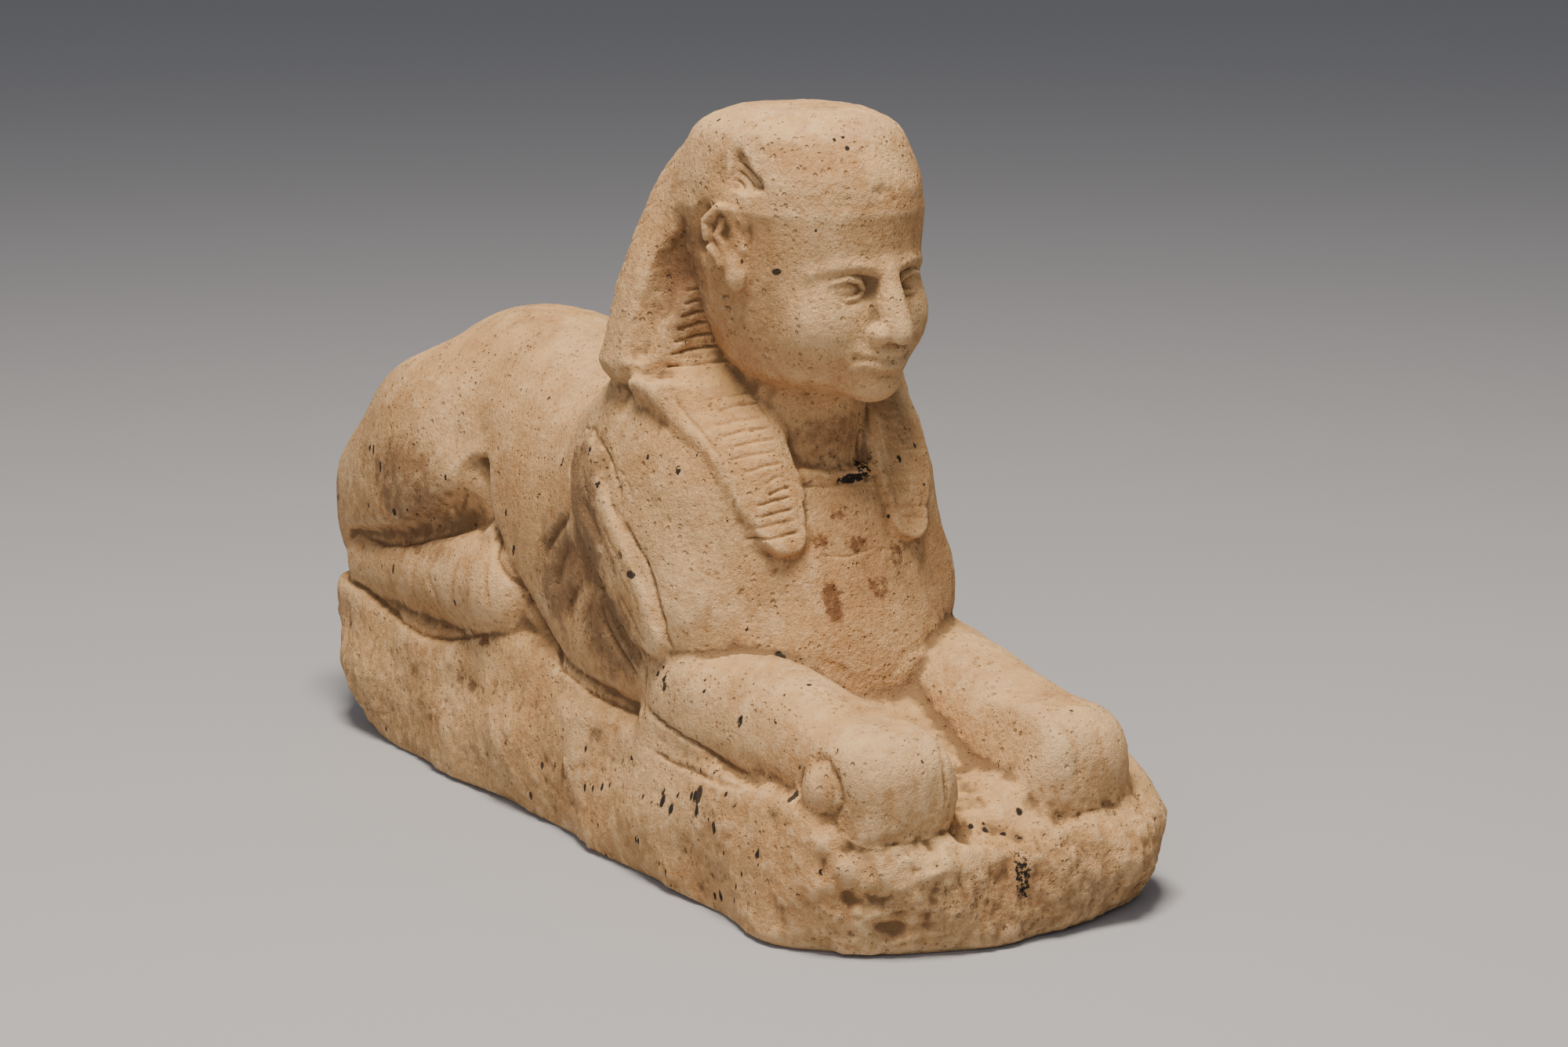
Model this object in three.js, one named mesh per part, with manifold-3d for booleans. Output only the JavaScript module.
// A crouching sphinx carved from one block of soft limestone: a lion lying with its forelegs stretched out
// and its hind legs folded, and a man's head in a pleated headcloth, all in one piece with a low plinth.
// Units are millimetres, +Z is up and the sphinx faces -Y. The origin is on the ground, under the middle.
//
// The figure is one distance field: every form below is a function of a point that gives how far the point
// lies outside the form, negative inside it. Forms are blended like worked stone, then relief is raised and
// hollows are cut. The zero surface is meshed, thinned to a light mesh and sawn off flat below.
import * as THREE from "three";
import { MarchingCubes } from "three/addons/objects/MarchingCubes.js";
import { SimplifyModifier } from "three/addons/modifiers/SimplifyModifier.js";
import { mergeVertices } from "three/addons/utils/BufferGeometryUtils.js";
import Module from "manifold-3d";

// ---------- driving dimensions ----------
const LENGTH = 756; // plinth, front to rear
const WIDTH = 256; // plinth, side to side
const HEIGHT = 497; // ground to the crown of the headcloth
const PLINTH_HEIGHT = 92; // ground to the rim along the sides
const FRONT = -352; // y of the plinth's front face
const REAR = FRONT + LENGTH; // y of its rear face
const PLINTH_SHIFT = 8; // the plinth is cut wider on the sphinx's left
const PLINTH_WIDENING = 4; // and widens a little towards the front on its right
const HEAD_AXIS = -100; // y of the upright line the head turns about
const HEAD_TURN = THREE.MathUtils.degToRad(8); // the head looks a little to its left
const BAND = 437; // height of the brow band's upper edge
const CHIN = 312; // height of the chin's underside
const FACE = BAND - CHIN; // brow band to chin, the module the face is divided by
const LAPPET_TOP = 320; // height where the headcloth's lappets leave its wings
const LEFT_LEG_SHIFT = 5; // the left foreleg lies this much lower and further in than the right
const RELIEF = 6; // how far the folded wings stand up from the flank
const STRAP = 6; // how far the lappets stand up from the chest

// ---------- how forms are joined and cut ----------
const { abs, cos, hypot, max, min, pow, sin } = Math;

/** The union of two distances, with the valley between them filled over a width k. */
function blend(a, b, k) {
  const h = max(k - abs(a - b), 0) / k;
  return min(a, b) - (h * h * k) / 4;
}

/** What two forms share, with the edge between them worn round over a width k. */
function clip(a, b, k) {
  return -blend(-a, -b, k);
}

/** Form a with form b cut out of it, the cut's edge worn round over a width k. */
function carve(a, b, k) {
  return -blend(-a, b, k);
}

/** 0 below low, 1 above high, and a smooth step between them. */
function ease(value, low, high) {
  return THREE.MathUtils.smoothstep(value, low, high);
}

// ---------- forms ----------

/** An ellipsoid at a centre with three radii. */
function ellipsoid([cx, cy, cz], [rx, ry, rz]) {
  return (x, y, z) => {
    const u = (x - cx) / rx;
    const v = (y - cy) / ry;
    const w = (z - cz) / rz;
    const near = hypot(u, v, w);
    const slope = hypot(u / rx, v / ry, w / rz) || 1e-9;
    return (near * (near - 1)) / slope;
  };
}

/** An ellipsoid with squarer shoulders. */
function pillow([cx, cy, cz], [rx, ry, rz], power) {
  const least = min(rx, ry, rz);
  return (x, y, z) => {
    const sum = pow(abs(x - cx) / rx, power) + pow(abs(y - cy) / ry, power) + pow(abs(z - cz) / rz, power);
    return (pow(sum, 1 / power) - 1) * least;
  };
}

/** A limb from point a to point b, whose radius changes from ra to rb. */
function limb([ax, ay, az], ra, [bx, by, bz], rb) {
  const [dx, dy, dz] = [bx - ax, by - ay, bz - az];
  const squared = dx * dx + dy * dy + dz * dz;
  return (x, y, z) => {
    const along = ((x - ax) * dx + (y - ay) * dy + (z - az) * dz) / squared;
    const t = min(max(along, 0), 1);
    return hypot(x - ax - t * dx, y - ay - t * dy, z - az - t * dz) - (ra + t * (rb - ra));
  };
}

/** A flat shape drawn by a brush moved through [u, v, brush radius] places. */
function stroke(places) {
  return (u, v) => {
    let nearest = Infinity;
    for (let i = 1; i < places.length; i += 1) {
      const [au, av, ra] = places[i - 1];
      const [bu, bv, rb] = places[i];
      const squared = (bu - au) * (bu - au) + (bv - av) * (bv - av);
      const along = ((u - au) * (bu - au) + (v - av) * (bv - av)) / squared;
      const t = min(max(along, 0), 1);
      const away = hypot(u - au - t * (bu - au), v - av - t * (bv - av)) - (ra + t * (rb - ra));
      nearest = min(nearest, away);
    }
    return nearest;
  };
}

/** A smooth curve through [place, value, value, ...] keys, read at a place. */
function through(keys) {
  const last = keys.length - 1;
  return (place) => {
    if (place <= keys[0][0]) return keys[0].slice(1);
    if (place >= keys[last][0]) return keys[last].slice(1);
    let i = 0;
    while (keys[i + 1][0] < place) i += 1;
    const [a, b] = [keys[i], keys[i + 1]];
    const [before, after] = [keys[max(i - 1, 0)], keys[min(i + 2, last)]];
    const span = b[0] - a[0];
    const t = (place - a[0]) / span;
    const [t2, t3] = [t * t, t * t * t];
    return a.slice(1).map((value, n) => {
      const leave = ((b[n + 1] - before[n + 1]) / (b[0] - before[0])) * span;
      const arrive = ((after[n + 1] - a[n + 1]) / (after[0] - a[0])) * span;
      const ends = (2 * t3 - 3 * t2 + 1) * value + (3 * t2 - 2 * t3) * b[n + 1];
      return ends + (t3 - 2 * t2 + t) * leave + (t3 - t2) * arrive;
    });
  };
}

/** How far (u, v) lies outside a superellipse with half axes a and b. */
function superellipse(u, v, a, b, power) {
  const r = pow(pow(abs(u / a), power) + pow(abs(v / b), power), 1 / power);
  return (r - 1) * min(a, b);
}

/** A form lofted upwards through [z, half width, centre y, half depth] stations. */
function upright(stations, power, rounding) {
  const at = through(stations);
  const [bottom, top] = [stations[0][0], stations[stations.length - 1][0]];
  return (x, y, z) => {
    const [halfWidth, centre, halfDepth] = at(z);
    const side = superellipse(x, y - centre, halfWidth, halfDepth, power);
    return clip(side, max(bottom - z, z - top), rounding);
  };
}

/** A form lofted from front to rear through [y, half width, centre z, half height] stations. */
function lengthwise(stations, power, rounding) {
  const at = through(stations);
  const [front, rear] = [stations[0][0], stations[stations.length - 1][0]];
  return (x, y, z) => {
    const [halfWidth, centre, halfHeight] = at(y);
    const side = superellipse(x, z - centre, halfWidth, halfHeight, power);
    return clip(side, max(front - y, y - rear), rounding);
  };
}

/** A surface raised by a height inside a flat shape drawn on it. */
function raise(surface, shape, height, edge) {
  return blend(surface, clip(surface - height, shape, edge), 1);
}

/** A surface sunk by a depth inside a flat shape drawn on it. */
function sink(surface, shape, depth, edge) {
  return carve(surface, clip(shape, -(surface + depth), edge), edge);
}

/** A surface with a round channel cut along a line drawn on it. */
function channel(surface, line, radius, edge) {
  return carve(surface, hypot(max(line, 0), surface) - radius, edge);
}

// ---------- the plinth ----------
const ramp = { foot: 62, head: 122, reach: -190, halfWidth: 42 }; // stone left between the forelegs

/**
 * The plinth's top: level along the sides, with the ramp climbing between the forelegs, and in front a
 * ledge sloping down to the edge, whose distance outwards is given.
 */
function plinthTop(x, y, outwards) {
  const drop = 4 + 14 * (1 - ease(abs(x + 14), 4, 34));
  const ledge = 1.05 * max(outwards + 26, 0) * ease(-y, 290, 338);
  const level = PLINTH_HEIGHT + 16 * ease(y, 220, REAR) - drop * ease(-y, 250, -FRONT) - ledge;
  const climb = min(max((y - FRONT) / (ramp.reach - FRONT), 0), 1);
  const raised = ramp.foot + (ramp.head - ramp.foot) * climb;
  const between = 1 - ease(abs(x), ramp.halfWidth - 14, ramp.halfWidth + 8);
  const ahead = 1 - ease(y, -150, -100);
  return level + max(raised - level, 0) * between * ahead;
}

const SAW_LINE = 14; // stone meshed below the ground, then sawn off flat

/** The plinth: a slab with rounded corners, bulging sides and broken, undercut lower edges. */
function plinth(x, y, z) {
  const corner = 48 + (26 + 14 * ease(x, 0, 60)) * (1 - ease(z, 0, 70));
  const bulge = 10 * ease(-z, -90, -24) * (1 - ease(x, -20, 70) * (1 - ease(z, 0, 44)));
  const undercut = 6 * pow(1 - min(max(z, 0) / 16, 1), 2) - bulge;
  const rearward = y > 0 ? min(0.75 * max(80 - z, 0), 46) : 0;
  const hewn = 2.4 * sin(y / 37 + z / 19) + 1.8 * sin(y / 17 - z / 23 + x / 29) + 1.5 * sin(x / 11 + z / 13);
  const widening = PLINTH_WIDENING * ease(-y, -50, 250);
  const dx = abs(x - PLINTH_SHIFT + widening) - (WIDTH / 2 - corner) - widening;
  const dy = abs(y - (FRONT + REAR) / 2) - (LENGTH / 2 - corner) + rearward;
  const plan = hypot(max(dx, 0), max(dy, 0)) + min(max(dx, dy), 0) - corner + undercut + hewn;
  const brokenCorner = -0.62 * x - 0.78 * y - 312 - 0.25 * z + hewn;
  const outside = clip(plan, brokenCorner, 26);
  const edge = 15 - 10 * ease(-y, 290, 338);
  return clip(outside, max(z - plinthTop(x, y, outside), -SAW_LINE - z), edge);
}

// ---------- the lion's body ----------
const trunk = lengthwise(
  [
    [-120, 92, 172, 120],
    [-40, 104, 180, 128],
    [60, 108, 180, 122],
    [160, 101, 189, 127],
    [250, 90, 189, 132],
    [300, 87, 181, 126],
    [346, 82, 168, 100],
    [REAR + 4, 66, 150, 76],
  ],
  2.2,
  40,
);

const bust = upright(
  [
    [70, 104, -52, 140],
    [130, 108, -56, 136],
    [165, 100, -55, 130],
    [190, 94, -54, 122],
    [225, 102, -52, 112],
    [255, 107, -50, 101],
    [290, 100, -42, 84],
    [314, 84, -34, 64],
    [334, 66, -30, 48],
  ],
  2.6,
  16,
);

const haunch = pillow([60, 273, 197], [58, 112, 92], 2.1);
const buttock = pillow([64, 327, 160], [50, 88, 62], 2.6);
const knee = limb([80, 244, 200], 38, [82, 184, 210], 26);
const hindFoot = limb([84, 346, 120], 30, [82, 136, 138], 41);
const underBelly = limb([78, 150, 96], 36, [84, -80, 70], 34);
const underFoot = limb([84, 340, 86], 28, [84, 150, 80], 32);

const upperArm = limb([76, -40, 225], 34, [80, -108, 178], 30);
const forearm = limb([74, -96, 108], 36, [72, -250, 108], 37);
const wrist = ellipsoid([76, -196, 110], [38, 70, 43]);
const legRoot = pillow([78, -136, 111], [40, 52, 40], 3);
const forepaw = pillow([68, -295, 101], [44, 53, 38], 2.8);
const forearmEdge = limb([102, -96, 94], 17, [94, -210, 84], 11);
const dewclaw = ellipsoid([110, -298, 101], [11, 15, 15]);

const thighLine = stroke([
  [350, 138, 0],
  [302, 145, 2],
  [263, 152, 4],
  [205, 172, 7],
  [172, 194, 10],
  [168, 212, 7],
]);
const bellyLine = stroke([
  [162, 226, 0],
  [150, 192, 0],
  [121, 165, 0],
  [73, 129, 0],
  [33, 107, 0],
  [-86, 99, 0],
]);

const wingOutline = stroke([
  [-13, 254, 22],
  [-34, 222, 27],
  [-62, 192, 26],
  [-88, 170, 22],
  [-104, 158, 13],
]);
const wingHollow = stroke([
  [-10, 214, 1],
  [-36, 183, 4],
  [-66, 152, 4],
  [-92, 130, 1],
]);
const ribHollow = [
  stroke([
    [20, 214, 3],
    [52, 184, 5],
  ]),
  stroke([
    [10, 196, 3],
    [34, 166, 5],
  ]),
  stroke([
    [-4, 176, 3],
    [14, 150, 5],
  ]),
];

/** The lion and what its legs lie on; x is measured from the middle plane outwards. */
function lion(x, y, z, legShift) {
  let body = blend(trunk(x, y, z), bust(x, y, z), 40);
  body = blend(body, upperArm(x, y, z), 30);
  if (y < 200 && y > -90 && z < 240) body = channel(body, bellyLine(y, z), 7, 4);
  body = blend(body, haunch(x, y, z), 14);
  body = blend(body, buttock(x, y, z), 20);
  body = blend(body, knee(x, y, z), 14);
  if (x > 60 && y > 130 && y < 380 && z < 230) body = channel(body, thighLine(y, z), 11, 5);
  body = blend(body, min(underBelly(x, y, z), underFoot(x, y, z)), 5);
  body = blend(body, hindFoot(x, y, z), 5);
  if (x > 60 && y < 80 && y > -150) {
    body = raise(body, wingOutline(y, z), RELIEF, 3);
    body = sink(body, wingHollow(y, z), 5, 4);
    for (const hollow of ribHollow) body = sink(body, hollow(y, z), 3, 4);
  }
  if (y > -60) return body;
  const legX = x + legShift * ease(-y, 120, 250);
  const legZ = z + legShift * ease(-y, 120, 250);
  let foreleg = blend(forearm(legX, y, legZ), wrist(legX, y, legZ), 20);
  foreleg = blend(foreleg, legRoot(legX, y, legZ), 14);
  const innerWall = 22 + 0.4 * (legZ - 79) - legX;
  foreleg = blend(foreleg, clip(forepaw(legX, y, legZ), innerWall, 5), 16);
  foreleg = blend(foreleg, forearmEdge(legX, y, legZ), 6);
  foreleg = blend(foreleg, dewclaw(legX, y, legZ), 3);
  return blend(body, foreleg, 5);
}

// ---------- the headcloth on the shoulders ----------
const lappetOutline = stroke([
  [74, 330, 32],
  [60, 292, 28],
  [53, 255, 24],
  [49, 232, 17],
]);

/** The bare throat between the lappets, down to the collar. */
const throat = stroke([
  [-22, 300, 18],
  [-18, 280, 17],
  [24, 280, 17],
  [28, 300, 18],
]);

/** A lappet: a thick strap whose front slopes down and forwards over the chest. */
function lappet(x, y, z) {
  const front = -97 - 0.72 * (LAPPET_TOP - z) + 0.012 * (x - 54) * (x - 54);
  const face = (front - y) * 0.81;
  return clip(clip(face, lappetOutline(x, z), 5), max(z - LAPPET_TOP, y + 50), 4);
}

const veil = upright(
  [
    [304, 88, -24, 34],
    [324, 104, -30, 42],
    [345, 100, -33, 44],
    [374, 92, -35, 44],
    [398, 84, -36, 42],
    [423, 73, -40, 44],
    [450, 60, -50, 50],
    [470, 44, -60, 46],
  ],
  2.8,
  14,
);
const veilHollow = [
  limb([74, -108, 440], 9, [68, -77, 407], 15),
  limb([68, -77, 407], 15, [78, -69, 389], 16),
  limb([78, -69, 389], 16, [89, -63, 364], 15),
  limb([89, -63, 364], 15, [98, -57, 338], 10),
];
const pleatedHollow = limb([58, -84, 376], 9, [60, -78, 320], 15);

// ---------- the head, in its own frame: y is measured from the axis it turns about ----------
const cap = upright(
  [
    [BAND - 5, 72, -1, 88],
    [452, 71, -1, 87],
    [470, 67, 0, 79],
    [485, 60, 0, 68],
    [HEIGHT, 41, -1, 47],
  ],
  2.1,
  10,
);
const browBand = upright(
  [
    [BAND - 8, 72, -1, 88],
    [BAND, 74, -1, 90],
  ],
  2.1,
  3,
);
const skull = upright(
  [
    [CHIN + 0.15 * FACE, 50, -14, 58],
    [CHIN + 0.4 * FACE, 61, -9, 74],
    [CHIN + 0.66 * FACE, 66, -5, 82],
    [BAND, 71, -2, 87],
  ],
  2.2,
  9,
);
const jaw = ellipsoid([0, -24, CHIN + 0.27 * FACE], [50, 58, 36]);
const cheek = ellipsoid([30, -58, CHIN + 0.42 * FACE], [24, 23, 25]);
const chin = ellipsoid([0, -71, CHIN + 14], [19, 17, 14]);
const mouth = ellipsoid([0, -71, CHIN + 0.25 * FACE], [25, 18, 17]);
const noseBridge = limb([0, -84, CHIN + 0.68 * FACE], 7, [0, -96, CHIN + 0.41 * FACE], 9);
const nostril = ellipsoid([10, -89, CHIN + 0.375 * FACE], [7, 10, 7]);
const eyeSocket = ellipsoid([25, -92, CHIN + 0.61 * FACE], [17, 14, 10]);
const eyeball = ellipsoid([25, -70, CHIN + 0.6 * FACE], [13, 11, 8]);
const browRidge = limb([8, -85, CHIN + 0.7 * FACE], 4, [44, -64, CHIN + 0.69 * FACE], 4);
const ear = limb([65, -9, CHIN + 0.92 * FACE], 13, [64, -18, CHIN + 0.66 * FACE], 10);
const earBowl = limb([81, -10, CHIN + 0.92 * FACE], 9, [76, -17, CHIN + 0.78 * FACE], 6);

/** The three-cornered hollow at the temple, drawn on the side of the headcloth. */
function templeNiche(y, z) {
  const slope = (z - BAND - 41 + 0.97 * (-11 - y)) / 1.39;
  return max(max(BAND + 11 - z, y + 13), slope);
}
const templePit = ellipsoid([76, -3, BAND + 24], [10, 9, 16]);
const behindEar = limb([74, 10, BAND - 5], 8, [70, 24, BAND - 27], 12);
const neck = limb([0, 2, 250], 44, [0, -4, 345], 42);

/** The face and ears. */
function face(x, y, z) {
  let d = blend(skull(x, y, z), jaw(x, y, z), 20);
  d = blend(d, cheek(x, y, z), 14);
  d = blend(d, mouth(x, y, z), 10);
  d = blend(d, chin(x, y, z), 10);
  d = carve(d, eyeSocket(x, y, z), 8);
  d = blend(d, browRidge(x, y, z), 6);
  d = blend(d, eyeball(x, y, z), 3);
  d = blend(d, noseBridge(x, y, z), 7);
  d = blend(d, nostril(x, y, z), 4);
  return blend(d, carve(ear(x, y, z), earBowl(x, y, z), 3), 3);
}

/** The head with its headcloth, turned about its axis. */
function head(x, y, z) {
  const turnedX = x * cos(HEAD_TURN) + (y - HEAD_AXIS) * sin(HEAD_TURN);
  const turnedY = (y - HEAD_AXIS) * cos(HEAD_TURN) - x * sin(HEAD_TURN);
  const [out, turnedOut] = [abs(x), abs(turnedX)];
  let cloth = veil(out, y, z);
  for (const hollow of veilHollow) cloth = carve(cloth, hollow(out, y, z), 3);
  cloth = carve(cloth, pleatedHollow(out, y, z), 4);
  cloth = blend(cloth, cap(turnedOut, turnedY, z), 14);
  cloth = sink(cloth, templeNiche(turnedY, z), 8, 4);
  cloth = carve(cloth, templePit(turnedOut, turnedY, z), 4);
  cloth = blend(cloth, browBand(turnedOut, turnedY, z), 3);
  const flesh = blend(face(turnedOut, turnedY, z), neck(turnedOut, turnedY, z), 8);
  return carve(blend(flesh, cloth, 2), behindEar(turnedOut, turnedY, z), 3);
}

/** The whole figure on its plinth. */
function sphinx(x, y, z) {
  const side = abs(x);
  const legShift = x > 0 ? LEFT_LEG_SHIFT : 0;
  let figure = blend(lion(side, y, z, legShift), plinth(x, y, z), 5);
  if (z > 200 && y < -50) {
    figure = sink(figure, throat(x, z), 7, 3);
    figure = raise(figure, lappetOutline(side, z), STRAP, 2);
  }
  if (z > 200 && y < 90) figure = blend(figure, head(x, y, z), 5);
  if (z > 200 && y < -40) figure = blend(figure, lappet(side, y, z), 2);
  return figure;
}

// ---------- from the field to a closed mesh ----------
const RESOLUTION = 200; // cells of the meshing block on each axis
const STRIDE = 4; // cells between the first, sparse readings of the field
const BAND_OF_INTEREST = 22; // cells further than this from the surface keep their sparse reading
const TRIANGLES = 9600;
const NUDGE = 0.02; // keeps the surface off the meshing block's own corners
const LIMESTONE = new THREE.MeshStandardMaterial({ color: 0xd2ae83, roughness: 0.9, metalness: 0 });

/** Writes one stride of cells, starting at a corner, into the meshing field. */
function fillCells(cells, [i0, j0, k0], value) {
  for (let k = k0; k < k0 + STRIDE; k += 1) {
    for (let j = j0; j < j0 + STRIDE; j += 1) {
      for (let i = i0; i < i0 + STRIDE; i += 1) {
        cells[(k * RESOLUTION + j) * RESOLUTION + i] = value(i, j, k);
      }
    }
  }
}

/** The zero surface of a field inside a block, as an indexed geometry of about so many triangles. */
async function mesh(field, block, triangles) {
  const centre = block.getCenter(new THREE.Vector3());
  const half = block.getSize(new THREE.Vector3()).multiplyScalar(0.5);
  const cubes = new MarchingCubes(RESOLUTION, LIMESTONE, false, false, 600000);
  cubes.isolation = 0;
  const read = (i, j, k) => {
    const [u, v, w] = [i, j, k].map((n) => (2 * n) / RESOLUTION - 1);
    const outside = field(centre.x + half.x * u, centre.y + half.y * v, centre.z + half.z * w);
    return abs(outside) < NUDGE ? -NUDGE : -outside;
  };
  for (let k = 0; k < RESOLUTION; k += STRIDE) {
    for (let j = 0; j < RESOLUTION; j += STRIDE) {
      for (let i = 0; i < RESOLUTION; i += STRIDE) {
        const sparse = read(i + STRIDE / 2, j + STRIDE / 2, k + STRIDE / 2);
        fillCells(cubes.field, [i, j, k], abs(sparse) < BAND_OF_INTEREST ? read : () => sparse);
      }
    }
  }
  cubes.update();
  const corners = cubes.positionArray.slice(0, cubes.count * 3);
  const soup = new THREE.BufferGeometry();
  soup.setAttribute("position", new THREE.BufferAttribute(corners, 3));
  soup.scale(half.x, half.y, half.z);
  soup.translate(centre.x, centre.y, centre.z);
  const dense = mergeVertices(soup, 1e-3);
  const share = triangles / (dense.index.count / 3);
  const removed = Math.round(dense.attributes.position.count * (1 - share));
  return new SimplifyModifier().modify(dense, removed);
}

const block = new THREE.Box3(
  new THREE.Vector3(-WIDTH / 2 - 16, FRONT - 26, -30),
  new THREE.Vector3(WIDTH / 2 + 28, REAR + 40, HEIGHT + 20),
);

// ---------- booleans ----------
const wasm = await Module();
wasm.setup();

/** A three.js geometry as a manifold solid. */
function solid(geometry) {
  const bare = new THREE.BufferGeometry();
  bare.setAttribute("position", geometry.getAttribute("position"));
  bare.setIndex(geometry.getIndex());
  const merged = mergeVertices(bare, 1e-4);
  const vertProperties = merged.attributes.position.array;
  const triVerts = new Uint32Array(merged.index.array);
  return new wasm.Manifold(new wasm.Mesh({ numProp: 3, vertProperties, triVerts }));
}

/** A manifold solid as a three.js geometry. */
function geometryOf(made) {
  const { vertProperties, triVerts } = made.getMesh();
  const geometry = new THREE.BufferGeometry();
  geometry.setAttribute("position", new THREE.BufferAttribute(vertProperties, 3));
  geometry.setIndex(new THREE.BufferAttribute(triVerts, 1));
  geometry.computeVertexNormals();
  return geometry;
}

const ground = new THREE.BoxGeometry(2 * WIDTH, 2 * LENGTH, 100).translate(0, 0, -50);
const carved = solid(await mesh(sphinx, block, TRIANGLES)).subtract(solid(ground));

const centred = geometryOf(carved);
centred.computeBoundingBox();
const middle = centred.boundingBox.getCenter(new THREE.Vector3());
centred.translate(-middle.x, -middle.y, 0);

const statue = new THREE.Mesh(centred, LIMESTONE);
statue.name = "sphinx";
const group = new THREE.Group();
group.add(statue);
export default group;
